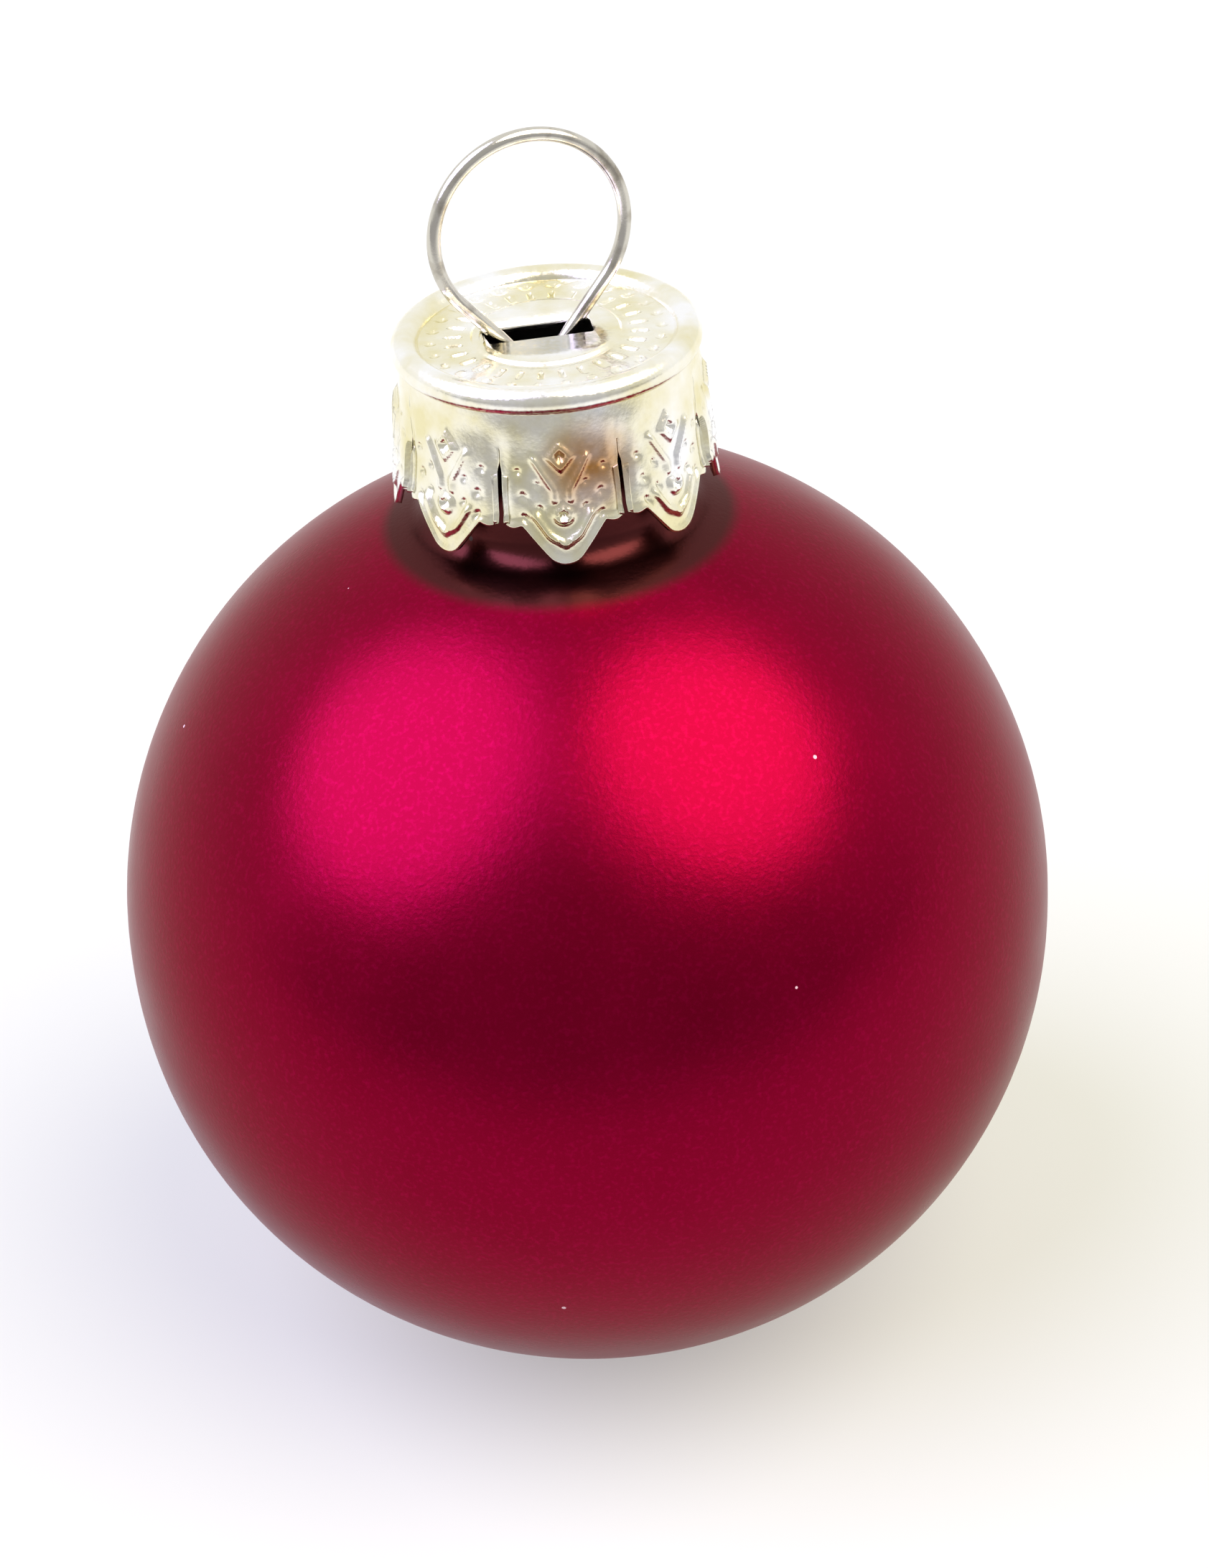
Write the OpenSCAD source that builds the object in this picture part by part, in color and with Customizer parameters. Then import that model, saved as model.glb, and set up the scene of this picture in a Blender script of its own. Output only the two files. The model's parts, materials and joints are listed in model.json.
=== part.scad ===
// Hanging glass ball ornament.
// A blown ball with a drawn neck, a stamped sheet cap over the neck, and a
// hanger bent from one spring wire, whose legs spread inside the neck.
// Millimetres, +Z up, front towards -Y. The origin is the inside top of the
// hanger's ring, where a hook carries the ornament. The ball and the cap are
// drawn round the middle of the ball, and in_place() brings them to the hook.

/* [Ball] */
// Width of the ball across its middle
ball_d = 30; // [25:0.5:40]
// How much taller than wide the ball is, without its neck
ball_stretch = 0.4; // [0.2:0.1:0.8]
// Wall of the blown glass
glass_wall = 0.6; // [0.4:0.05:0.8]

/* [Neck] */
// Outer diameter of the neck where it is straight
neck_d = 8; // [7:0.1:10]
// Radius of the blend from the neck into the ball
neck_blend = 0.9; // [0.6:0.1:1.2]

/* [Cap] */
// Height of the cap from its rolled rim to the tips of its lobes
cap_h = 5.4; // [4.4:0.1:6.6]
// Thickness of the cap's sheet
sheet = 0.25; // [0.15:0.01:0.3]
// Gap between the neck and the top of the skirt, on the radius
cap_clear = 0.23; // [0.15:0.01:0.3]
// Gap between the cap's underside and the rim of the neck
seat_clear = 0.05; // [0.03:0.01:0.1]
// Height of the lobes' tips above the shoulder of the ball
tip_lift = 0.6; // [0.4:0.05:0.8]
// Radius of the rolled rim
bead_r = 0.43; // [0.35:0.01:0.55]
// Angle at which the skirt spreads downwards
skirt_flare = 5.5; // [4:0.5:8]
// Depth of the top disc below the crest of the rolled rim
disc_sink = 0.3; // [0.2:0.01:0.4]
// Diameter of the raised middle of the top disc
step_d = 4.4; // [4.1:0.1:5]
// Height of the raised middle above the rest of the disc
step_rise = 0.12; // [0.08:0.01:0.15]

/* [Lobes] */
// Number of lobes round the skirt
lobes = 8; // [6:1:10]
// Drop of each lobe's tooth below the shoulders of the lobe
tooth_drop = 1.25; // [0.8:0.05:1.5]
// Radius of the tip of each tooth
tooth_r = 0.55; // [0.4:0.05:0.7]
// Half width of a tooth where it leaves the shoulders
tooth_half = 1.2; // [1:0.05:1.3]
// Length of the slit between two lobes
slit_len = 2; // [1.2:0.1:2.4]
// Width of the slit between two lobes
slit_w = 0.12; // [0.08:0.01:0.2]
// Turn of the first lobe from the front
lobe_turn = 1.5; // [-10:0.5:10]

/* [Hanger] */
// Diameter of the spring wire
wire_d = 0.42; // [0.35:0.01:0.52]
// Diameter of the ring, to the middle of the wire
ring_d = 5.88; // [4.9:0.01:7.5]
// Spacing of the two wires where they enter the slot, to their middles
slot_gap = 2.34; // [2:0.01:2.6]
// Slope of the wires between the ring and the cap, from level
taper_deg = 50; // [45:1:56]
// Spacing of the wires at their narrowest, inside the cap
waist_gap = 1.24; // [1:0.01:1.4]
// Radius of the bend at the narrowest place, to the middle of the wire
waist_bend = 0.7; // [0.5:0.05:0.8]
// Angle at which each leg spreads from the vertical
leg_spread = 28; // [20:1:32]
// Gap between a leg's tip and the bore of the neck, on the radius
leg_clear = 0.2; // [0.15:0.01:0.3]
// Turn of the hanger about the vertical
hanger_turn = 17; // [-30:1:30]

/* [Slot] */
// Width of the slot in the cap
slot_w = 1.1; // [0.9:0.05:1.4]
// Gap between each wire and the end of the slot
slot_clear = 0.2; // [0.15:0.01:0.3]
// Turn of the slot from the hanger
slot_turn = -10; // [-12:1:12]
// Offset of the slot and the hanger from the cap's middle, to the left
slot_shift = 0.25; // [0:0.01:0.35]

/* [Hidden] */
$fn = 64;
bite = 1; // how far cutters run past what they cut
joint_swell = 0.01; // how much a joint in the wire stands out

// The ball is two halves of a sphere, set apart by a short straight band
band_top = ball_stretch / 2;
ball_r = ball_d / 2;

// The neck and the round blend below it
neck_r = neck_d / 2;
bore_r = neck_r - glass_wall;
blend_x = neck_r + neck_blend;
blend_z = band_top + sqrt(pow(ball_r + neck_blend, 2) - pow(blend_x, 2));

// The cap comes down until its lobes are tip_lift above the ball
skirt_top_r = neck_r + cap_clear; // inside of the skirt under the rim
rim_h = 2 * bead_r;
skirt_h = cap_h - rim_h;
tip_in_r = skirt_top_r + skirt_h * tan(skirt_flare);
tip_z = band_top + sqrt(pow(ball_r, 2) - pow(tip_in_r, 2)) + tip_lift;
cap_z = tip_z + cap_h; // crest of the rim
disc_z = cap_z - disc_sink; // top disc's upper face
slot_z = disc_z + step_rise; // raised middle's upper face
neck_top = disc_z - sheet - seat_clear;
shoulder_z = tip_z + tooth_drop;

// The hanger in its own plane: x across the ring, z from the slot's upper face
wire_r = wire_d / 2;
ring_r = ring_d / 2;
ring_z = ring_r * cos(taper_deg)
    + (ring_r * sin(taper_deg) - slot_gap / 2) * tan(taper_deg);
bend_start = 90 - taper_deg;
bend_x = waist_gap / 2 + waist_bend;
bend_top_x = bend_x - waist_bend * cos(bend_start);
bend_z = -(slot_gap / 2 - bend_top_x) * tan(taper_deg)
    - waist_bend * sin(bend_start);
leg_x = bend_x - waist_bend * cos(leg_spread);
leg_z = bend_z - waist_bend * sin(leg_spread);
leg_tip_x = bore_r - slot_shift - leg_clear - wire_r * cos(leg_spread);
leg_len = (leg_tip_x - leg_x) / sin(leg_spread);
slot_len = slot_gap + wire_d / sin(taper_deg) + 2 * slot_clear;
hang_z = slot_z + ring_z + ring_r - wire_r; // inside top of the ring

// Puts a shape of the ball or the cap at its place below the hook
module in_place() {
    translate([slot_shift, 0, -hang_z]) children();
}

// Right half of the ball's outline, drawn in by inset
module ball_outline(inset) {
    radius = ball_r - inset;
    intersection() {
        translate([0, -ball_d]) square([ball_d, 2 * ball_d]);
        union() {
            translate([0, band_top]) circle(radius);
            translate([0, -band_top]) circle(radius);
            translate([0, -band_top]) square([radius, 2 * band_top]);
        }
    }
}

// Right half of the ball with its neck, drawn in by inset, up to top_z
module glass_outline(inset, top_z) {
    ball_outline(inset);
    translate([0, blend_z - bite]) square([neck_r - inset, top_z - blend_z + bite]);
    difference() {
        polygon([[0, band_top], [blend_x, blend_z], [0, blend_z]]);
        translate([blend_x, blend_z]) circle(neck_blend + inset);
    }
}

// Blown ball and neck, hollow, and open at the top
module glass_ball() {
    color("crimson") in_place() rotate_extrude() difference() {
        glass_outline(0, neck_top);
        glass_outline(glass_wall, neck_top + bite);
    }
}

// Section of the cap's top: disc with a raised middle, and the rolled rim
module top_section() {
    bead_z = cap_z - bead_r;
    under_z = disc_z - sheet;
    translate([0, under_z]) square([skirt_top_r, sheet]);
    translate([0, slot_z - sheet]) square([step_d / 2, sheet]);
    difference() {
        translate([skirt_top_r, bead_z]) circle(bead_r);
        translate([0, bead_z - rim_h])
            square([skirt_top_r - sheet / 4, under_z - bead_z + rim_h]);
    }
}

// Section of the flared skirt, which starts inside the rim's roll
module skirt_section() {
    start_z = tip_z + skirt_h + sheet / 2;
    start_r = skirt_top_r - (start_z - tip_z - skirt_h) * tan(skirt_flare);
    polygon([
        [start_r, start_z], [start_r + sheet, start_z],
        [tip_in_r + sheet, tip_z], [tip_in_r, tip_z]
    ]);
}

// Cap before it is slit, scalloped and slotted
module cap_blank() {
    rotate_extrude() top_section();
    rotate_extrude() skirt_section();
}

// Outline of one tooth, hanging from the shoulders at height 0: a round tip,
// and two straight sides that start above the shoulders and end in the tip
module tooth_outline() {
    tip_y = tooth_r - tooth_drop;
    side = atan2(-tip_y, tooth_half) - acos(tooth_r / norm([tooth_half, tip_y]));
    low_x = 0.96 * tooth_r * cos(side);
    low_y = tip_y + 0.96 * tooth_r * sin(side);
    high_y = tooth_r / 2;
    high_x = tooth_half + high_y * (tooth_half - low_x) / -low_y;
    translate([0, tip_y]) circle(tooth_r);
    polygon([[-high_x, high_y], [-low_x, low_y], [low_x, low_y], [high_x, high_y]]);
}

// Everything below the shoulders that is not a tooth
module lobe_waste() {
    inner = neck_r - bite / 2;
    outer = tip_in_r + bite;
    difference() {
        translate([0, 0, tip_z - bite]) cylinder(h = tooth_drop + bite, r = outer);
        for (i = [0 : lobes - 1])
            rotate([0, 0, lobe_turn + i * 360 / lobes])
                translate([0, -inner, shoulder_z])
                    rotate([90, 0, 0]) linear_extrude(outer) tooth_outline();
    }
}

// Stamped cap: slit and scalloped skirt, rolled rim, slotted top
module cap() {
    color("lightgray") in_place() difference() {
        cap_blank();
        lobe_waste();
        // slits between the lobes
        for (i = [0 : lobes - 1])
            rotate([0, 0, lobe_turn + (i + 0.5) * 360 / lobes])
                translate([-slit_w / 2, -tip_in_r - bite, shoulder_z - bite])
                    cube([slit_w, tip_in_r, slit_len + bite]);
        // slot for the hanger's wires
        translate([-slot_shift, 0, disc_z - sheet - bite])
            rotate([0, 0, hanger_turn + slot_turn])
                translate([-slot_len / 2, -slot_w / 2, 0])
                    cube([slot_len, slot_w, sheet + 2 * bite]);
    }
}

// Puts a shape of the hanger's plane at its place above the slot
module hanger_plane() {
    translate([0, 0, slot_z - hang_z]) rotate([0, 0, hanger_turn]) children();
}

// Arc of round wire in the hanger's plane, from angle a0 to a1
module wire_arc(centre, radius, a0, a1) {
    translate([centre[0], 0, centre[1]]) rotate([90, 0, 0]) rotate([0, 0, a0])
        rotate_extrude(angle = a1 - a0) translate([radius, 0]) circle(wire_r);
}

// Straight wire in the hanger's plane, from a point, leaning from the vertical
module wire_run(from, lean, length) {
    translate([from[0], 0, from[1]]) rotate([0, 180 - lean, 0])
        cylinder(h = length, r = wire_r);
}

// Ball a hair wider than the wire, which makes two stretches one solid
module wire_joint(centre) {
    translate([centre[0], 0, centre[1]]) sphere(wire_r + joint_swell);
}

// Right side of the wire between the ring and the leg
module wire_side() {
    start = [ring_r * sin(taper_deg), ring_z - ring_r * cos(taper_deg)];
    run = (start[0] - bend_top_x) / cos(taper_deg);
    wire_joint(start);
    wire_run(start, taper_deg - 90, run);
    wire_joint([bend_top_x, bend_z + waist_bend * sin(bend_start)]);
    wire_arc([bend_x, bend_z], waist_bend, 180 - bend_start, 180 + leg_spread);
}

// Ring of the hanger and the wire down to its narrowest place
module hanger_ring() {
    color("silver") hanger_plane() {
        wire_arc([0, ring_z], ring_r, taper_deg - 90, 270 - taper_deg);
        wire_side();
        mirror([1, 0, 0]) wire_side();
    }
}

// One spring leg, which spreads inside the neck
module leg() {
    wire_run([leg_x, leg_z], leg_spread, leg_len);
}

module left_leg() {
    color("silver") hanger_plane() mirror([1, 0, 0]) leg();
}

module right_leg() {
    color("silver") hanger_plane() leg();
}

glass_ball();
cap();
hanger_ring();
left_leg();
right_leg();
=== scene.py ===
import json
import math
import bmesh
import bpy
from mathutils import Matrix, Vector, noise


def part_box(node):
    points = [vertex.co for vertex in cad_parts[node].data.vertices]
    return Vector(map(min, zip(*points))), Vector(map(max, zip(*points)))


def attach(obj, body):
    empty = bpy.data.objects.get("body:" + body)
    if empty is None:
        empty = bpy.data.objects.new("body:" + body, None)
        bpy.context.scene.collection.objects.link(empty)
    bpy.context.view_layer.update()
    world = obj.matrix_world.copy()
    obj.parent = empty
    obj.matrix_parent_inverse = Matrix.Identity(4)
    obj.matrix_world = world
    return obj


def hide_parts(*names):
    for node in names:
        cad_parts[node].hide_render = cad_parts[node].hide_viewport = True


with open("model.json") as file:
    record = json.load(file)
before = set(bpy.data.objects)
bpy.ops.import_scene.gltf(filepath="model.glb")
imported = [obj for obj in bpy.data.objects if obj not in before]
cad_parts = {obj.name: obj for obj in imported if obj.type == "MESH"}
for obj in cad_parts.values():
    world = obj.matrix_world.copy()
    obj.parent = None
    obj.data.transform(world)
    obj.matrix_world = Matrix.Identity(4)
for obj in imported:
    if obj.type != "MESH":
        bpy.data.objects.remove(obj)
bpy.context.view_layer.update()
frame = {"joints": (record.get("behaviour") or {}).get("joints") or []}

mm = 0.001
scene = bpy.context.scene

# Places that everything is built round, in millimetres
ballLow, ballHigh = [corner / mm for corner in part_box("glass_ball")]
capLow, capHigh = [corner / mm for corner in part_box("cap")]
joints = {joint["name"]: joint for joint in frame["joints"]}
axisX = (ballLow.x + ballHigh.x) / 2  # the ball's and the cap's common axis
floorZ = ballLow.z
ringAcross = Vector(joints["cap_swing"]["axis"]).normalized()
print("frame loaded, the ball stands on", round(floorZ, 3))


def linear(hexColour):
    parts = [int(hexColour[i:i + 2], 16) / 255 for i in (1, 3, 5)]
    return [c / 12.92 if c <= 0.04045 else ((c + 0.055) / 1.055) ** 2.4 for c in parts] + [1.0]


def addNode(tree, kind, links=None, **settings):
    # links feeds sockets from other nodes' sockets, settings sets sockets or properties by name
    node = tree.nodes.new(kind)
    for key, value in settings.items():
        if hasattr(node, key):
            setattr(node, key, value)
        else:
            node.inputs[key.replace("_", " ")].default_value = value
    for key, source in (links or {}).items():
        tree.links.new(source, node.inputs[key])
    return node


def newMaterial(name):
    material = bpy.data.materials.new(name)
    material.use_nodes = True
    tree = material.node_tree
    tree.nodes.clear()
    return material, tree


def finishMaterial(tree, shader):
    addNode(tree, "ShaderNodeOutputMaterial", {"Surface": shader})


def newPiece(name, bm, body, node, materials, smooth=60):
    # a piece is modelled in millimetres, and lands in the frame in metres
    bmesh.ops.scale(bm, vec=(mm, mm, mm), verts=bm.verts)
    mesh = bpy.data.meshes.new(name)
    bm.to_mesh(mesh)
    bm.free()
    piece = bpy.data.objects.new(name, mesh)
    scene.collection.objects.link(piece)
    for material in materials:
        mesh.materials.append(material)
    mesh.shade_smooth()
    mesh.set_sharp_from_angle(angle=math.radians(smooth))
    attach(piece, body)
    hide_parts(node)
    return piece


def extrudeVert(bm, vert, to, steps):
    start = vert.co.copy()
    for i in range(1, steps + 1):
        vert = bmesh.ops.extrude_vert_indiv(bm, verts=[vert])["verts"][0]
        vert.co = start.lerp(Vector(to), i / steps)
    return vert


def arcVert(bm, vert, centre, degrees, steps):
    made = bmesh.ops.spin(bm, geom=[vert], cent=centre, axis=(0, 1, 0),
                          angle=math.radians(degrees), steps=steps)
    return [item for item in made["geom_last"] if isinstance(item, bmesh.types.BMVert)][0]


def smoothStep(low, high, value):
    t = min(max((value - low) / (high - low), 0), 1)
    return t * t * (3 - 2 * t)


def segmentDistance(x, y, ax, ay, bx, by):
    dx, dy = bx - ax, by - ay
    t = min(max(((x - ax) * dx + (y - ay) * dy) / (dx * dx + dy * dy), 0), 1)
    return math.hypot(x - ax - t * dx, y - ay - t * dy)


lacquer = dict(crimson="#84042a", deep="#780422", flake="#900534", edge="#e6dad8", roughness=0.29,
               roughnessSpread=0.03, grain=0.14, grainHeight=0.01, cloud=3.0,
               dust="#f0c8cf", dustSpacing=3.6, dustSize=0.075,
               # the neck keys paint shade: a dark ring on the shoulder standing in for the cap's shadow and
               # reflection
               paintedNeckShade="#4a2322", neckReach=5.45, neckFade=0.3, neckCover=0.96,
               neckDown=4.9, neckForward=0.4)


def satinLacquer():
    # metallic crimson lacquer, sprayed thin and left satin: a broad soft glow, no sharp reflections,
    # a powdery grain, and a few specks of dust that settled in it
    material, tree = newMaterial("satinCrimsonLacquer")
    place = addNode(tree, "ShaderNodeTexCoord").outputs["Object"]
    cloud = addNode(tree, "ShaderNodeTexNoise", {"Vector": place},
                    Scale=1 / (lacquer["cloud"] * mm), Detail=4.0)
    grain = addNode(tree, "ShaderNodeTexNoise", {"Vector": place},
                    Scale=1 / (lacquer["grain"] * mm), Detail=2.0)
    tone = addNode(tree, "ShaderNodeMix", {"Factor": cloud.outputs["Fac"]}, data_type="RGBA")
    tone.inputs[6].default_value = linear(lacquer["deep"])
    tone.inputs[7].default_value = linear(lacquer["crimson"])
    grainRange = addNode(tree, "ShaderNodeMapRange", {"Value": grain.outputs["Fac"]},
                         From_Min=0.5, From_Max=0.75, To_Min=0.0, To_Max=0.8)
    flaked = addNode(tree, "ShaderNodeMix", {"Factor": grainRange.outputs[0], 6: tone.outputs[2]},
                     data_type="RGBA")
    flaked.inputs[7].default_value = linear(lacquer["flake"])
    dust = addNode(tree, "ShaderNodeTexVoronoi", {"Vector": place}, Scale=1 / (lacquer["dustSpacing"] * mm))
    speck = addNode(tree, "ShaderNodeMath", {0: dust.outputs["Distance"]}, operation="LESS_THAN")
    speck.inputs[1].default_value = lacquer["dustSize"] / lacquer["dustSpacing"]
    dusty = addNode(tree, "ShaderNodeMix", {"Factor": speck.outputs[0], 6: flaked.outputs[2]},
                    data_type="RGBA")
    dusty.inputs[7].default_value = linear(lacquer["dust"])
    # painted shade: a dark brown ring on the shoulder stands in for the cap's shadow and dark reflection
    # there;
    # it is painted into the lacquer's colour, so it stays when the cap is off
    fromNeck = addNode(tree, "ShaderNodeVectorMath", {0: place}, operation="DISTANCE")
    ringMiddle = Vector((axisX, -lacquer["neckForward"], ballHigh.z - lacquer["neckDown"]))
    fromNeck.inputs[1].default_value = ringMiddle * mm
    neckShadeMask = addNode(tree, "ShaderNodeMapRange", {"Value": fromNeck.outputs["Value"]},
                       interpolation_type="SMOOTHSTEP",
                       From_Min=(lacquer["neckReach"] - lacquer["neckFade"]) * mm,
                       From_Max=(lacquer["neckReach"] + lacquer["neckFade"]) * mm,
                       To_Min=lacquer["neckCover"], To_Max=0.0)
    withNeckShade = addNode(tree, "ShaderNodeMix", {"Factor": neckShadeMask.outputs[0], 6: dusty.outputs[2]},
                     data_type="RGBA")
    withNeckShade.inputs[7].default_value = linear(lacquer["paintedNeckShade"])
    metallic = addNode(tree, "ShaderNodeMath", {1: speck.outputs[0]}, operation="SUBTRACT")
    metallic.inputs[0].default_value = 1
    rough = addNode(tree, "ShaderNodeMapRange", {"Value": cloud.outputs["Fac"]}, From_Min=0.3, From_Max=0.7,
                    To_Min=lacquer["roughness"] - lacquer["roughnessSpread"],
                    To_Max=lacquer["roughness"] + lacquer["roughnessSpread"])
    bump = addNode(tree, "ShaderNodeBump", {"Height": grain.outputs["Fac"]},
                   Strength=0.5, Distance=lacquer["grainHeight"] * mm)
    shader = addNode(tree, "ShaderNodeBsdfPrincipled", {
        "Base Color": withNeckShade.outputs[2], "Metallic": metallic.outputs[0], "Roughness": rough.outputs[0],
        "Normal": bump.outputs[0]}, Specular_Tint=linear(lacquer["edge"]))
    finishMaterial(tree, shader.outputs[0])
    return material


def silveredInside():
    # the mirror coat poured into the ball: brighter than the lacquer, streaked where it drained
    material, tree = newMaterial("silveredGlassInside")
    place = addNode(tree, "ShaderNodeTexCoord").outputs["Object"]
    streak = addNode(tree, "ShaderNodeTexNoise", {"Vector": place}, Scale=1 / (2 * mm), Detail=5.0)
    tone = addNode(tree, "ShaderNodeMix", {"Factor": streak.outputs["Fac"]}, data_type="RGBA")
    tone.inputs[6].default_value = linear("#8f8a86")
    tone.inputs[7].default_value = linear("#cfccc6")
    shader = addNode(tree, "ShaderNodeBsdfPrincipled", {"Base Color": tone.outputs[2]},
                     Metallic=1.0, Roughness=0.3)
    finishMaterial(tree, shader.outputs[0])
    return material


def cutGlassEdge():
    # the broken-off edge of the neck: bare glass, a little cloudy
    material, tree = newMaterial("cutGlassEdge")
    place = addNode(tree, "ShaderNodeTexCoord").outputs["Object"]
    chip = addNode(tree, "ShaderNodeTexNoise", {"Vector": place}, Scale=1 / (0.3 * mm), Detail=3.0)
    bump = addNode(tree, "ShaderNodeBump", {"Height": chip.outputs["Fac"]},
                   Strength=0.6, Distance=0.03 * mm)
    tone = addNode(tree, "ShaderNodeMix", {"Factor": chip.outputs["Fac"]}, data_type="RGBA")
    tone.inputs[6].default_value = linear("#9fb0aa")
    tone.inputs[7].default_value = linear("#d4dedb")
    shader = addNode(tree, "ShaderNodeBsdfPrincipled", {
        "Base Color": tone.outputs[2], "Normal": bump.outputs[0]}, Roughness=0.25, IOR=1.5)
    finishMaterial(tree, shader.outputs[0])
    return material


tinplate = dict(silver="#fbfbfb", champagne="#e8e0b4", gold="#b87a1c", tarnish=2.2, roughness=0.17,
                scuff=0.12, scuffHeight=0.012,
                goldAt=(1.25, -4.6, -8.2), goldSize=1.7)


def stampedTinplate():
    # thin bright sheet, pressed between dies: sharp glints on every ridge, a champagne cast from its
    # clear wash, and a browner patch where the wash pooled
    material, tree = newMaterial("stampedBrightTinplate")
    place = addNode(tree, "ShaderNodeTexCoord").outputs["Object"]
    wash = addNode(tree, "ShaderNodeTexNoise", {"Vector": place},
                   Scale=1 / (tinplate["tarnish"] * mm), Detail=5.0)
    scuff = addNode(tree, "ShaderNodeTexNoise", {"Vector": place},
                    Scale=1 / (tinplate["scuff"] * mm), Detail=3.0)
    washRange = addNode(tree, "ShaderNodeMapRange", {"Value": wash.outputs["Fac"]},
                        From_Min=0.35, From_Max=0.65)
    tone = addNode(tree, "ShaderNodeMix", {"Factor": washRange.outputs[0]}, data_type="RGBA")
    tone.inputs[6].default_value = linear(tinplate["silver"])
    tone.inputs[7].default_value = linear(tinplate["champagne"])
    away = addNode(tree, "ShaderNodeVectorMath", {0: place}, operation="DISTANCE")
    away.inputs[1].default_value = [value * mm for value in tinplate["goldAt"]]
    pool = addNode(tree, "ShaderNodeMapRange", {"Value": away.outputs["Value"]},
                   From_Min=tinplate["goldSize"] * mm, From_Max=0.0, To_Min=0.0, To_Max=2.6)
    poolEdge = addNode(tree, "ShaderNodeMath", {0: pool.outputs[0], 1: wash.outputs["Fac"]},
                       operation="MULTIPLY", use_clamp=True)
    stained = addNode(tree, "ShaderNodeMix", {"Factor": poolEdge.outputs[0], 6: tone.outputs[2]},
                      data_type="RGBA")
    stained.inputs[7].default_value = linear(tinplate["gold"])
    rough = addNode(tree, "ShaderNodeMapRange", {"Value": scuff.outputs["Fac"]}, From_Min=0.3, From_Max=0.7,
                    To_Min=tinplate["roughness"] - 0.06, To_Max=tinplate["roughness"] + 0.1)
    bump = addNode(tree, "ShaderNodeBump", {"Height": scuff.outputs["Fac"]},
                   Strength=0.5, Distance=tinplate["scuffHeight"] * mm)
    shader = addNode(tree, "ShaderNodeBsdfPrincipled", {
        "Base Color": stained.outputs[2], "Roughness": rough.outputs[0], "Normal": bump.outputs[0]},
        Metallic=1.0)
    finishMaterial(tree, shader.outputs[0])
    return material


wire = dict(bright="#cfcbc0", dull="#857c6c", roughness=0.13, spots=0.9, dieLines=0.05, lineHeight=0.005)


def drawnSteelWire():
    # spring wire drawn through a die: bright and hard, with duller spots where fingers touched it
    material, tree = newMaterial("drawnSpringWire")
    place = addNode(tree, "ShaderNodeTexCoord").outputs["Object"]
    spots = addNode(tree, "ShaderNodeTexNoise", {"Vector": place},
                    Scale=1 / (wire["spots"] * mm), Detail=4.0)
    lines = addNode(tree, "ShaderNodeTexNoise", {"Vector": place},
                    Scale=1 / (wire["dieLines"] * mm), Detail=1.0)
    dullness = addNode(tree, "ShaderNodeMapRange", {"Value": spots.outputs["Fac"]},
                       From_Min=0.5, From_Max=0.75)
    tone = addNode(tree, "ShaderNodeMix", {"Factor": dullness.outputs[0]}, data_type="RGBA")
    tone.inputs[6].default_value = linear(wire["bright"])
    tone.inputs[7].default_value = linear(wire["dull"])
    rough = addNode(tree, "ShaderNodeMapRange", {"Value": spots.outputs["Fac"]}, From_Min=0.3, From_Max=0.7,
                    To_Min=wire["roughness"] - 0.05, To_Max=wire["roughness"] + 0.1)
    bump = addNode(tree, "ShaderNodeBump", {"Height": lines.outputs["Fac"]},
                   Strength=0.4, Distance=wire["lineHeight"] * mm)
    shader = addNode(tree, "ShaderNodeBsdfPrincipled", {
        "Base Color": tone.outputs[2], "Roughness": rough.outputs[0], "Normal": bump.outputs[0]},
        Metallic=1.0)
    finishMaterial(tree, shader.outputs[0])
    return material


lacquerMaterial = satinLacquer()
insideMaterial = silveredInside()
edgeMaterial = cutGlassEdge()
tinMaterial = stampedTinplate()
wireMaterial = drawnSteelWire()
print("materials made")


ball = dict(width=ballHigh.x - ballLow.x, stretch=0.4, wall=0.6, neck=8.0, blend=0.9, around=160,
            lowRows=56, highRows=48, blendRows=12, neckRows=16, edgeBand=0.3, edgeWander=0.12)


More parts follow.
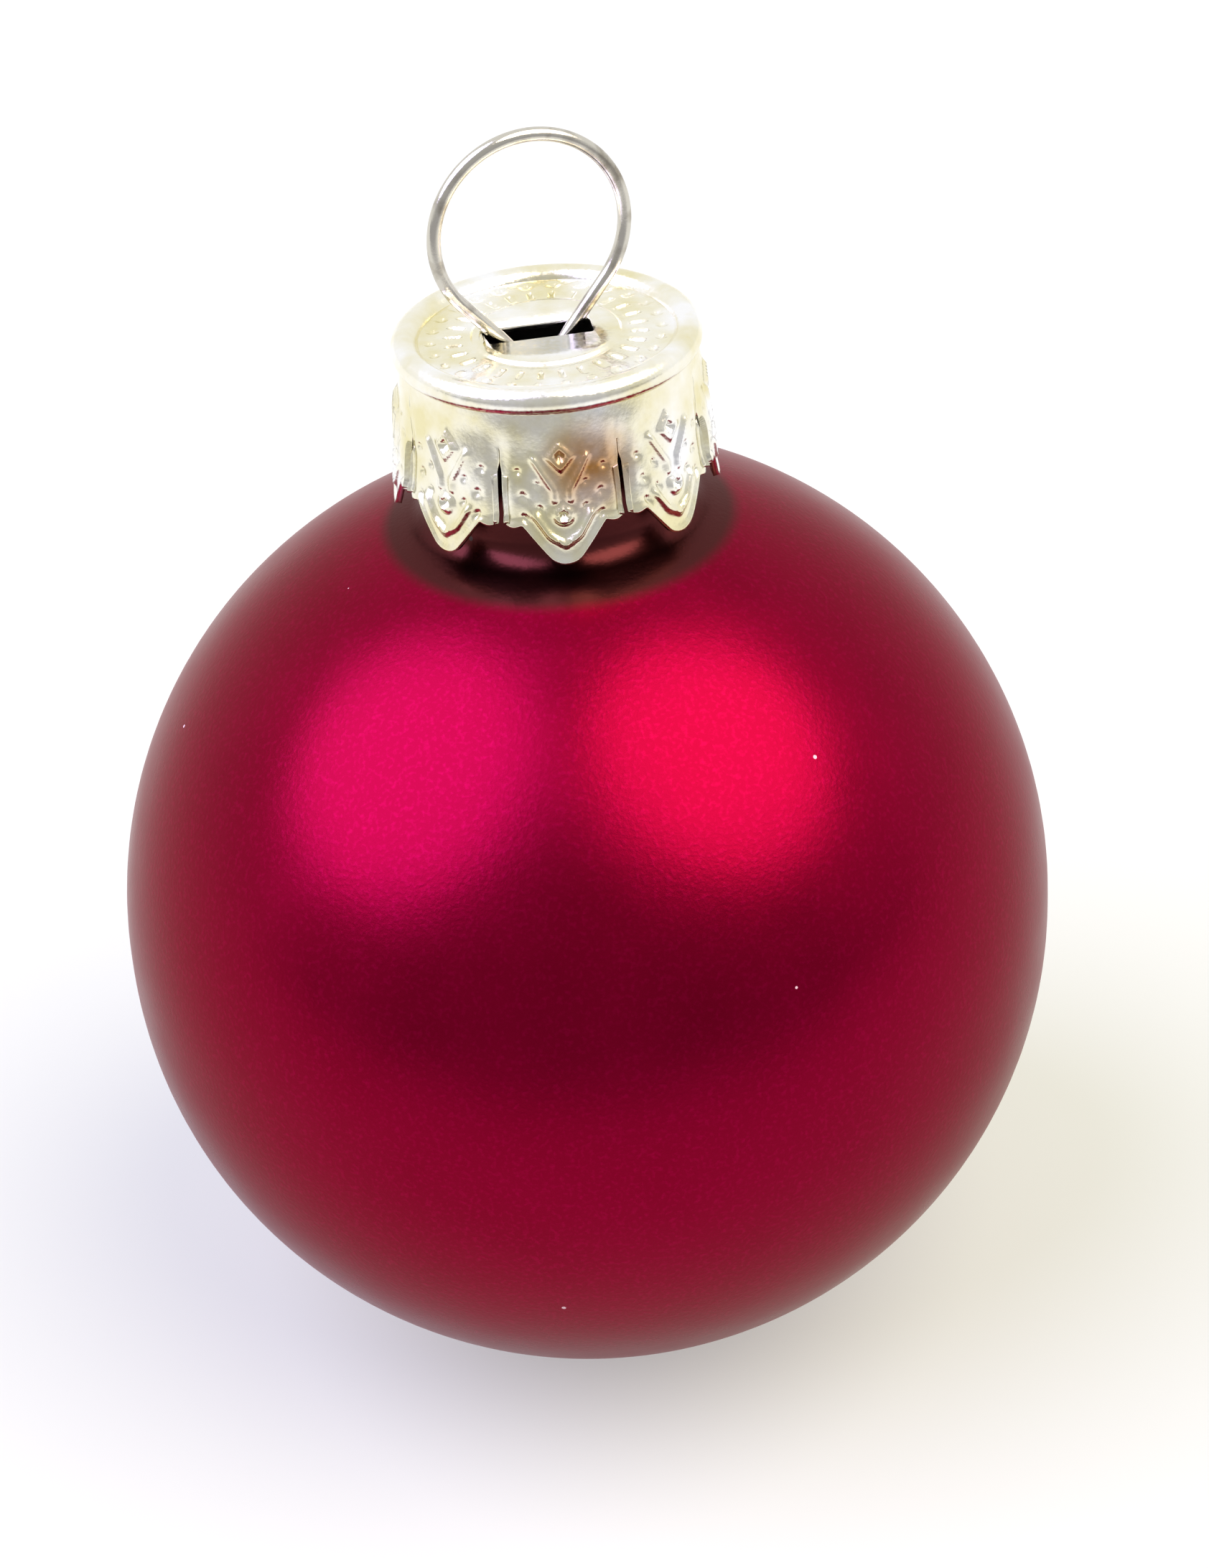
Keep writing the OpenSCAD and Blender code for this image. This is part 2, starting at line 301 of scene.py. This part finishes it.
def makeBall():
    radius = ball["width"] / 2
    band = ball["stretch"] / 2  # the halves of the ball stand this far above and below its middle
    neckR = ball["neck"] / 2
    middle = Vector((axisX, 0, floorZ + radius + band))
    blendX = neckR + ball["blend"]
    reach = radius + ball["blend"]
    blendUp = math.degrees(math.asin(blendX / reach))  # from straight up to where ball and blend meet
    blendZ = band + reach * math.cos(math.radians(blendUp))
    top = ballHigh.z - middle.z
    bm = bmesh.new()
    # the outline goes from the bottom up, as arcs about their own centres
    vert = bm.verts.new((0, 0, -band - radius))
    vert = arcVert(bm, vert, (0, 0, -band), -90, ball["lowRows"])
    vert = extrudeVert(bm, vert, (radius, 0, band), 2)
    vert = arcVert(bm, vert, (0, 0, band), -(90 - blendUp), ball["highRows"])
    vert = arcVert(bm, vert, (blendX, 0, blendZ), 90 - blendUp, ball["blendRows"])
    extrudeVert(bm, vert, (neckR, 0, top), ball["neckRows"])
    bmesh.ops.spin(bm, geom=bm.verts[:] + bm.edges[:], cent=(0, 0, 0), axis=(0, 0, 1),
                   angle=math.tau, steps=ball["around"], use_merge=True)
    bmesh.ops.remove_doubles(bm, verts=bm.verts, dist=1e-4)
    bmesh.ops.recalc_face_normals(bm, faces=bm.faces)
    for vert in bm.verts:  # a neck is snapped off, not turned: its edge is uneven
        if vert.co.z > top - ball["edgeBand"]:
            wander = noise.noise(Vector((vert.co.x, vert.co.y, 3.0)) * 0.9)
            nearEdge = (vert.co.z - top + ball["edgeBand"]) / ball["edgeBand"]
            vert.co.z -= nearEdge * ball["edgeWander"] * (0.5 + wander)
    bmesh.ops.translate(bm, vec=middle, verts=bm.verts)
    piece = newPiece("glassBall", bm, "ball", "glass_ball",
                     [lacquerMaterial, insideMaterial, edgeMaterial])
    wall = piece.modifiers.new("wall", "SOLIDIFY")
    wall.thickness = ball["wall"] * mm
    wall.offset = -1
    wall.use_even_offset = True
    wall.material_offset = 1
    wall.material_offset_rim = 2
    return middle


ballMiddle = makeBall()
print("glass ball made")


cap = dict(sheet=0.2, rim=0.43, sink=0.3, topR=4.23, middleR=2.2, middleRise=0.12, flare=5.5,
           lobes=8, turn=1.5, columns=56, skirtRows=58, toothDrop=1.25, toothR=0.55, toothHalf=1.2,
           slitLength=2.0, slitWidth=0.13, slotLength=3.288, slotWidth=1.1, slotTurn=7.0)
dots = dict(count=26, at=3.47, size=0.14, depth=0.12)
ribs = dict(count=28, start=2.5, end=3.1, width=0.08, height=0.1)
emboss = dict(height=0.12, width=0.1, dimple=0.1, diamondAt=1.3, diamondSize=0.3,
              bossAt=3.1, bossSize=0.2, edgeTurn=0.07, crease=0.10, wander=0.09)
# each dimple of a lobe: across from its middle, down from under the rim, and its size
dimples = [(0, emboss["diamondAt"], 0.1), (0, emboss["bossAt"], 0.09), (1.15, 2.5, 0.13),
           (1.12, 3.2, 0.12), (0.72, 2.15, 0.09), (0.66, 2.9, 0.09), (1.3, 1.75, 0.1)]


def toothEdge(u):
    # height of the lobe's lower edge above its tip, at u millimetres from the lobe's middle
    x = abs(u)
    r, drop, half = cap["toothR"], cap["toothDrop"], cap["toothHalf"]
    side = math.atan2(drop - r, half) - math.acos(r / math.hypot(half, drop - r))
    touchX, touchZ = r * math.cos(side), r + r * math.sin(side)
    if x < touchX:
        return r - math.sqrt(max(r * r - x * x, 0))
    if x < half:
        return touchZ + (drop - touchZ) * (x - touchX) / (half - touchX)
    # the shoulder sags in a shallow scallop before the slit
    return drop - 0.1 * math.sin(math.pi * min((x - half) / 0.6, 1))


def pressed(u, v):
    # how far the die pushed the skirt out at u across and v down from under the rim
    h, w = emboss["height"], emboss["width"]
    x = abs(u)
    ridge = 0
    diamond = abs(x + abs(v - emboss["diamondAt"]) * 0.9 - emboss["diamondSize"]) / 1.35
    lines = [diamond,
             segmentDistance(x, v, 0.78, 1.35, 0.24, 2.3),  # the V under it
             segmentDistance(x, v, 0.24, 2.3, 0.22, 2.62),
             abs(math.hypot(u, v - emboss["bossAt"]) - emboss["bossSize"]),  # the ring of the round boss
             segmentDistance(x, v, 0.8, 3.1, 0.42, 3.72),  # the ridge that follows the tip
             segmentDistance(x, v, 0.42, 3.72, 0.0, 4.0)]
    for line in lines:
        ridge = max(ridge, math.exp(-(line / w) ** 2))
    out = h * ridge
    for du, dv, size in dimples:
        out -= emboss["dimple"] * math.exp(-(math.hypot(x - du, v - dv) / size) ** 2)
    return out


def makeCap():
    crest = capHigh.z
    tipZ = capLow.z
    discZ = crest - cap["sink"]
    slotTop = discZ + cap["middleRise"]
    r = cap["rim"]
    rimZ = crest - r
    bm = bmesh.new()
    # the sheet's upper face, from the raised middle out over the rolled rim
    vert = bm.verts.new((cap["middleR"] - 0.14, 0, slotTop))
    vert = extrudeVert(bm, vert, (cap["middleR"] - 0.03, 0, slotTop), 1)
    vert = extrudeVert(bm, vert, (cap["middleR"] + 0.09, 0, discZ), 3)
    start = math.asin((discZ - rimZ) / r)
    vert = extrudeVert(bm, vert, (cap["topR"] - r * math.cos(start) - 0.02, 0, discZ), 22)
    vert = extrudeVert(bm, vert, (cap["topR"] - r * math.cos(start), 0, discZ), 1)
    under = math.radians(52)
    vert = arcVert(bm, vert, (cap["topR"], 0, rimZ), 180 - math.degrees(start) + math.degrees(under), 17)
    skirtTop = vert.co.z
    flare = math.tan(math.radians(cap["flare"]))
    topOut = vert.co.x
    lowOut = topOut + (skirtTop - tipZ) * flare
    extrudeVert(bm, vert, (lowOut, 0, tipZ), cap["skirtRows"])
    steps = cap["lobes"] * cap["columns"]
    bmesh.ops.spin(bm, geom=bm.verts[:] + bm.edges[:], cent=(0, 0, 0), axis=(0, 0, 1),
                   angle=math.tau, steps=steps, use_merge=True)
    bmesh.ops.remove_doubles(bm, verts=bm.verts, dist=1e-4)
    bmesh.ops.recalc_face_normals(bm, faces=bm.faces)
    pitch = math.tau / cap["lobes"]
    half = pitch / 2

    def within(co):
        # angle from the middle of its lobe, and the lobe's number
        angle = math.atan2(co.y, co.x) + math.pi / 2
        lobe = math.floor(angle / pitch + 0.5)
        return angle - lobe * pitch, lobe % cap["lobes"]

    # slits: the seams between lobes open below a height
    slitTop = tipZ + cap["toothDrop"] + cap["slitLength"]
    seams = []
    for edge in bm.edges:
        a, b = edge.verts
        if max(a.co.z, b.co.z) < slitTop and abs(a.co.z - b.co.z) > 1e-3:
            angle = within((a.co + b.co) / 2)[0]
            if abs(abs(angle) - half) < 1e-4:
                seams.append(edge)
    bmesh.ops.split_edges(bm, edges=seams)
    for vert in bm.verts:
        co = vert.co
        if co.z < skirtTop - 1e-4 and len(vert.link_faces):
            middle = Vector((0, 0, 0))
            for face in vert.link_faces:
                middle += face.calc_center_median()
            side, lobe = within(middle / len(vert.link_faces))
            angle = within(co)[0]
            if abs(abs(angle) - half) < 1e-4:
                angle = math.copysign(half, side)
            down = (skirtTop - co.z) / (skirtTop - tipZ)
            u = angle * (topOut + lowOut) / 2
            edgeZ = tipZ + toothEdge(u)
            z = skirtTop + (edgeZ - skirtTop) * down
            v = skirtTop - z
            radius = topOut + v * flare
            if vert.is_boundary and z < slitTop and abs(abs(angle) - half) < 1e-4:
                opening = cap["slitWidth"] / 2 * smoothStep(slitTop, slitTop - 0.5, z)
                opening += 0.05 * smoothStep(0.5, 1, down)
                angle = math.copysign(half - opening / radius, angle)
            out = pressed(u, v)
            out += emboss["edgeTurn"] * smoothStep(0.3, 0.0, z - edgeZ)  # the lower edge turns out
            nearSlit = smoothStep(0.45, 0.0, half * radius - abs(u))
            out -= emboss["crease"] * nearSlit * smoothStep(0.3, 1.6, v)  # the sheet is creased there
            out *= smoothStep(0, 0.35, v)
            seat = Vector((math.cos(angle) * 3, math.sin(angle) * 3, v * 0.6 + lobe * 5.0))
            out += emboss["wander"] * noise.noise(seat) * smoothStep(0, 0.8, v)
            radius += out
            whole = angle + lobe * pitch - math.pi / 2
            vert.co = Vector((radius * math.cos(whole), radius * math.sin(whole), z))
        elif co.z < crest - 0.2:
            radius = math.hypot(co.x, co.y)
            angle = math.atan2(co.y, co.x)
            dotAngle = (angle * dots["count"] / math.tau + 0.5) % 1 - 0.5
            away = math.hypot(dotAngle * math.tau / dots["count"] * radius, radius - dots["at"])
            co.z -= dots["depth"] * math.exp(-(away / dots["size"]) ** 2)
            ribAngle = ((angle * ribs["count"] / math.tau) % 1 - 0.5) * math.tau / ribs["count"] * radius
            along = smoothStep(ribs["start"], ribs["start"] + 0.1, radius)
            along *= smoothStep(ribs["end"], ribs["end"] - 0.1, radius)
            co.z -= ribs["height"] * along * math.exp(-(ribAngle / ribs["width"]) ** 2)
    bmesh.ops.rotate(bm, verts=bm.verts, cent=(0, 0, 0),
                     matrix=Matrix.Rotation(math.radians(cap["turn"]), 3, "Z"))
    # the raised middle closes in on the slot
    inner = [edge for edge in bm.edges if edge.is_boundary and edge.verts[0].co.z > discZ + 0.06]
    slot = bmesh.ops.create_grid(bm, x_segments=1, y_segments=1, size=0.5)["verts"]
    bmesh.ops.scale(bm, vec=(cap["slotLength"], cap["slotWidth"], 1), verts=slot)
    bmesh.ops.rotate(bm, verts=slot, cent=(0, 0, 0),
                     matrix=Matrix.Rotation(math.radians(cap["slotTurn"]), 3, "Z"))
    bmesh.ops.translate(bm, vec=(-axisX, 0, slotTop), verts=slot)
    slotFaces = list({face for vert in slot for face in vert.link_faces})
    bmesh.ops.delete(bm, geom=slotFaces, context="FACES_ONLY")
    bmesh.ops.bevel(bm, geom=slot, offset=0.1, segments=3, profile=0.5, affect="VERTICES", material=-1)
    hole = [edge for edge in bm.edges if not edge.link_faces]
    bmesh.ops.subdivide_edges(bm, edges=[edge for edge in hole if edge.calc_length() > 0.3], cuts=24)
    hole = [edge for edge in bm.edges if not edge.link_faces]
    bmesh.ops.bridge_loops(bm, edges=inner + hole)
    bmesh.ops.recalc_face_normals(bm, faces=bm.faces)
    top = max(bm.faces, key=lambda face: face.calc_center_median().z)
    if top.normal.z < 0:
        bmesh.ops.reverse_faces(bm, faces=bm.faces)
    bmesh.ops.translate(bm, vec=(axisX, 0, 0), verts=bm.verts)
    piece = newPiece("stampedCap", bm, "cap", "cap", [tinMaterial], smooth=50)
    wall = piece.modifiers.new("sheet", "SOLIDIFY")
    wall.thickness = cap["sheet"] * mm
    wall.offset = -1
    wall.use_even_offset = False
    return piece


stampedCap = makeCap()
print("cap stamped,", len(stampedCap.data.polygons), "faces before its thickness")


hanger = dict(wire=0.42, ring=5.88, slotGap=2.34, taper=50.0, waist=1.24, bend=0.7, spread=28.0,
              legLength=4.394, tipBulge=0.05, sides=20, ringRows=64, sideRows=12, bendRows=14, legRows=16)


def loopEdges(geom):
    return [item for item in geom if isinstance(item, bmesh.types.BMEdge)]


def wireCircle(bm):
    return bmesh.ops.create_circle(bm, cap_ends=False, segments=hanger["sides"],
                                   radius=hanger["wire"] / 2)["verts"]


def spinLoop(bm, loop, centre, degrees, steps):
    verts = list({vert for edge in loop for vert in edge.verts})
    made = bmesh.ops.spin(bm, geom=loop + verts, cent=centre, axis=(0, 1, 0),
                          angle=math.radians(degrees), steps=steps)
    return loopEdges(made["geom_last"])


def pushLoop(bm, loop, move):
    made = bmesh.ops.extrude_edge_only(bm, edges=loop)["geom"]
    verts = [item for item in made if isinstance(item, bmesh.types.BMVert)]
    bmesh.ops.translate(bm, vec=move, verts=verts)
    return [edge for edge in loopEdges(made) if edge.verts[0] in verts and edge.verts[1] in verts]


def endLoop(bm, loop, along, bulge):
    # closes a wire end with a dome that stands out by bulge
    r = hanger["wire"] / 2
    centre = sum((edge.verts[0].co for edge in loop), Vector()) / len(loop)
    done = 0
    for i in range(1, 5):
        angle = math.radians(i * 20)
        loop = pushLoop(bm, loop, along * (bulge * math.sin(angle) - done))
        done = bulge * math.sin(angle)
        here = centre + along * done
        verts = list({v for e in loop for v in e.verts})
        grow = r * math.cos(angle) / (verts[0].co - here).length
        for vert in verts:
            vert.co = here + (vert.co - here) * grow
    bmesh.ops.edgeloop_fill(bm, edges=loop)


def toPlace(bm):
    # from the hanger's own plane, with the slot's upper face at height 0, into the frame
    across = math.atan2(ringAcross.y, ringAcross.x)
    bmesh.ops.rotate(bm, verts=bm.verts, cent=(0, 0, 0), matrix=Matrix.Rotation(across, 3, "Z"))
    bmesh.ops.translate(bm, vec=(0, 0, hangerZ), verts=bm.verts)


taper = math.radians(hanger["taper"])
ringR = hanger["ring"] / 2
ringUp = ringR * math.cos(taper) + (ringR * math.sin(taper) - hanger["slotGap"] / 2) * math.tan(taper)
hangerZ = -(ringUp + ringR - hanger["wire"] / 2)
bendStart = math.radians(90 - hanger["taper"])
spread = math.radians(hanger["spread"])
bendX = hanger["waist"] / 2 + hanger["bend"]
bendTopX = bendX - hanger["bend"] * math.cos(bendStart)
bendZ = -(hanger["slotGap"] / 2 - bendTopX) * math.tan(taper) - hanger["bend"] * math.sin(bendStart)


def makeRing():
    bm = bmesh.new()
    loop = wireCircle(bm)
    # a level circle at the top of the ring, stood up so that the wire runs along x there
    bmesh.ops.rotate(bm, verts=loop, cent=(0, 0, 0), matrix=Matrix.Rotation(math.radians(90), 3, "Y"))
    bmesh.ops.translate(bm, vec=(0, 0, ringUp + ringR), verts=loop)
    edges = list({edge for vert in loop for edge in vert.link_edges})
    loop = spinLoop(bm, edges, (0, 0, ringUp), 180 - hanger["taper"], hanger["ringRows"])
    start = Vector((ringR * math.sin(taper), 0, ringUp - ringR * math.cos(taper)))
    end = Vector((bendTopX, 0, bendZ + hanger["bend"] * math.sin(bendStart)))
    for i in range(hanger["sideRows"]):
        loop = pushLoop(bm, loop, (end - start) / hanger["sideRows"])
    turn = -math.degrees(bendStart) - hanger["spread"]
    loop = spinLoop(bm, loop, (bendX, 0, bendZ), turn, hanger["bendRows"])
    bmesh.ops.edgeloop_fill(bm, edges=loop)
    bmesh.ops.mirror(bm, geom=bm.verts[:] + bm.edges[:] + bm.faces[:], axis="X", merge_dist=1e-4)
    bmesh.ops.remove_doubles(bm, verts=bm.verts, dist=1e-4)
    bmesh.ops.recalc_face_normals(bm, faces=bm.faces)
    toPlace(bm)
    newPiece("hangerRing", bm, "hanger", "hanger_ring", [wireMaterial])


def makeLeg(name, side, body, node):
    bm = bmesh.new()
    loop = wireCircle(bm)
    along = Vector((math.sin(spread), 0, -math.cos(spread)))
    bmesh.ops.rotate(bm, verts=loop, cent=(0, 0, 0), matrix=Matrix.Rotation(-spread, 3, "Y"))
    legTop = Vector((bendX, 0, bendZ)) - hanger["bend"] * Vector((math.cos(spread), 0, math.sin(spread)))
    bmesh.ops.translate(bm, vec=legTop, verts=loop)
    edges = list({edge for vert in loop for edge in vert.link_edges})
    endLoop(bm, edges, -along, hanger["wire"] / 2)
    length = hanger["legLength"] - hanger["tipBulge"]
    for i in range(hanger["legRows"]):
        edges = pushLoop(bm, edges, along * length / hanger["legRows"])
    endLoop(bm, edges, along, hanger["tipBulge"])
    if side < 0:
        for vert in bm.verts:
            vert.co.x = -vert.co.x
    bmesh.ops.recalc_face_normals(bm, faces=bm.faces)
    toPlace(bm)
    newPiece(name, bm, body, node, [wireMaterial])


makeRing()
makeLeg("leftLeg", -1, "left_spring", "left_leg")
makeLeg("rightLeg", 1, "right_spring", "right_leg")
print("hanger bent")


# the floor's second colour and its distances paint shade on the floor in front of the ornament
stage = dict(floorSize=4.0, floorColour="#b4baac", paintedFrontShade="#565856", greyFrom=30, greyTo=110,
             floorLift=0.36, ambient=0.45,
             backdrop="#ffffff", backLevel=1.0, frontLevel=0.55)


def seenRays(tree):
    # 1 where a surface is looked at, straight or in a shiny or clear thing, and 0 where it only lights
    paths = addNode(tree, "ShaderNodeLightPath").outputs
    seen = addNode(tree, "ShaderNodeMath", {0: paths["Is Camera Ray"], 1: paths["Is Glossy Ray"]},
                   operation="MAXIMUM")
    return addNode(tree, "ShaderNodeMath", {0: seen.outputs[0], 1: paths["Is Transmission Ray"]},
                   operation="MAXIMUM")


def makeFloor():
    bm = bmesh.new()
    bmesh.ops.create_grid(bm, x_segments=8, y_segments=8, size=stage["floorSize"] / 2)
    bmesh.ops.translate(bm, vec=(0, 0, floorZ * mm), verts=bm.verts)
    mesh = bpy.data.meshes.new("paleFloor")
    bm.to_mesh(mesh)
    bm.free()
    floor = bpy.data.objects.new("paleFloor", mesh)
    scene.collection.objects.link(floor)
    material, tree = newMaterial("paleFloorPaper")
    seenAll = seenRays(tree)
    lift = addNode(tree, "ShaderNodeMath", {0: seenAll.outputs[0]}, operation="MULTIPLY")
    lift.inputs[1].default_value = stage["floorLift"]
    # painted shade: the floor's colour turns greyer well in front of the ornament, standing in for shade
    # there
    place = addNode(tree, "ShaderNodeTexCoord").outputs["Object"]
    depth = addNode(tree, "ShaderNodeSeparateXYZ", {"Vector": place})
    front = addNode(tree, "ShaderNodeMapRange", {"Value": depth.outputs["Y"]},
                    interpolation_type="SMOOTHSTEP",
                    From_Min=-stage["greyFrom"] * mm, From_Max=-stage["greyTo"] * mm)
    tone = addNode(tree, "ShaderNodeMix", {"Factor": front.outputs[0]}, data_type="RGBA")
    tone.inputs[6].default_value = linear(stage["floorColour"])
    tone.inputs[7].default_value = linear(stage["paintedFrontShade"])
    diffuse = addNode(tree, "ShaderNodeBsdfDiffuse", {"Color": tone.outputs[2]})
    glow = addNode(tree, "ShaderNodeEmission", {"Strength": lift.outputs[0]}, Color=linear("#ffffff"))
    both = addNode(tree, "ShaderNodeAddShader", {0: diffuse.outputs[0], 1: glow.outputs[0]})
    finishMaterial(tree, both.outputs[0])
    mesh.materials.append(material)


def makeLamp(name, towards, angle, strength, colour):
    # one large soft window
    lamp = bpy.data.lights.new(name, "SUN")
    lamp.angle = math.radians(angle)
    lamp.energy = strength
    lamp.color = linear(colour)[:3]
    holder = bpy.data.objects.new(name, lamp)
    holder.rotation_euler = Vector(towards).to_track_quat("Z", "Y").to_euler()
    scene.collection.objects.link(holder)


def makeWorld():
    world = bpy.data.worlds.new("studio")
    world.use_nodes = True
    tree = world.node_tree
    tree.nodes.clear()
    seenAll = seenRays(tree)
    soft = addNode(tree, "ShaderNodeBackground", Color=linear("#ffffff"), Strength=stage["ambient"])
    # the room is darker behind the camera than behind the ornament
    around = addNode(tree, "ShaderNodeTexCoord").outputs["Generated"]
    way = addNode(tree, "ShaderNodeSeparateXYZ", {"Vector": around})
    level = addNode(tree, "ShaderNodeMapRange", {"Value": way.outputs["Y"]},
                    interpolation_type="SMOOTHSTEP", From_Min=-0.9, From_Max=0.1,
                    To_Min=stage["frontLevel"], To_Max=stage["backLevel"])
    backdrop = addNode(tree, "ShaderNodeBackground", {"Strength": level.outputs[0]},
                       Color=linear(stage["backdrop"]))
    mix = addNode(tree, "ShaderNodeMixShader",
                  {0: seenAll.outputs[0], 1: soft.outputs[0], 2: backdrop.outputs[0]})
    addNode(tree, "ShaderNodeOutputWorld", {"Surface": mix.outputs[0]})
    scene.world = world


view = dict(distance=118.0, elevation=33.9, roll=-4.26, sensor=36.0, focal=5000.0, height=2184,
            left=23.3, down=153.5)


def makeCamera():
    lens = bpy.data.cameras.new("camera")
    lens.sensor_fit = "VERTICAL"
    lens.sensor_height = view["sensor"]
    lens.lens = view["focal"] / view["height"] * view["sensor"]
    lens.shift_x = view["left"] / view["height"]
    lens.shift_y = view["down"] / view["height"]
    lens.clip_start = 1 * mm
    lens.clip_end = 20.0
    camera = bpy.data.objects.new("camera", lens)
    up = math.radians(view["elevation"])
    place = ballMiddle + view["distance"] * Vector((0, -math.cos(up), math.sin(up)))
    camera.matrix_world = (Matrix.Translation(place * mm) @ Matrix.Rotation(math.pi / 2 - up, 4, "X")
                           @ Matrix.Rotation(math.radians(view["roll"]), 4, "Z"))
    scene.collection.objects.link(camera)
    scene.camera = camera


makeFloor()
makeLamp("coolWindow", towards=(-0.625, -0.215, 0.750), angle=60, strength=3.6, colour="#d0c8ff")
makeLamp("warmWindow", towards=(0.515, -0.315, 0.797), angle=56, strength=2.6, colour="#fff0e2")
makeWorld()
makeCamera()
scene.view_settings.view_transform = "Standard"
print("stage set")
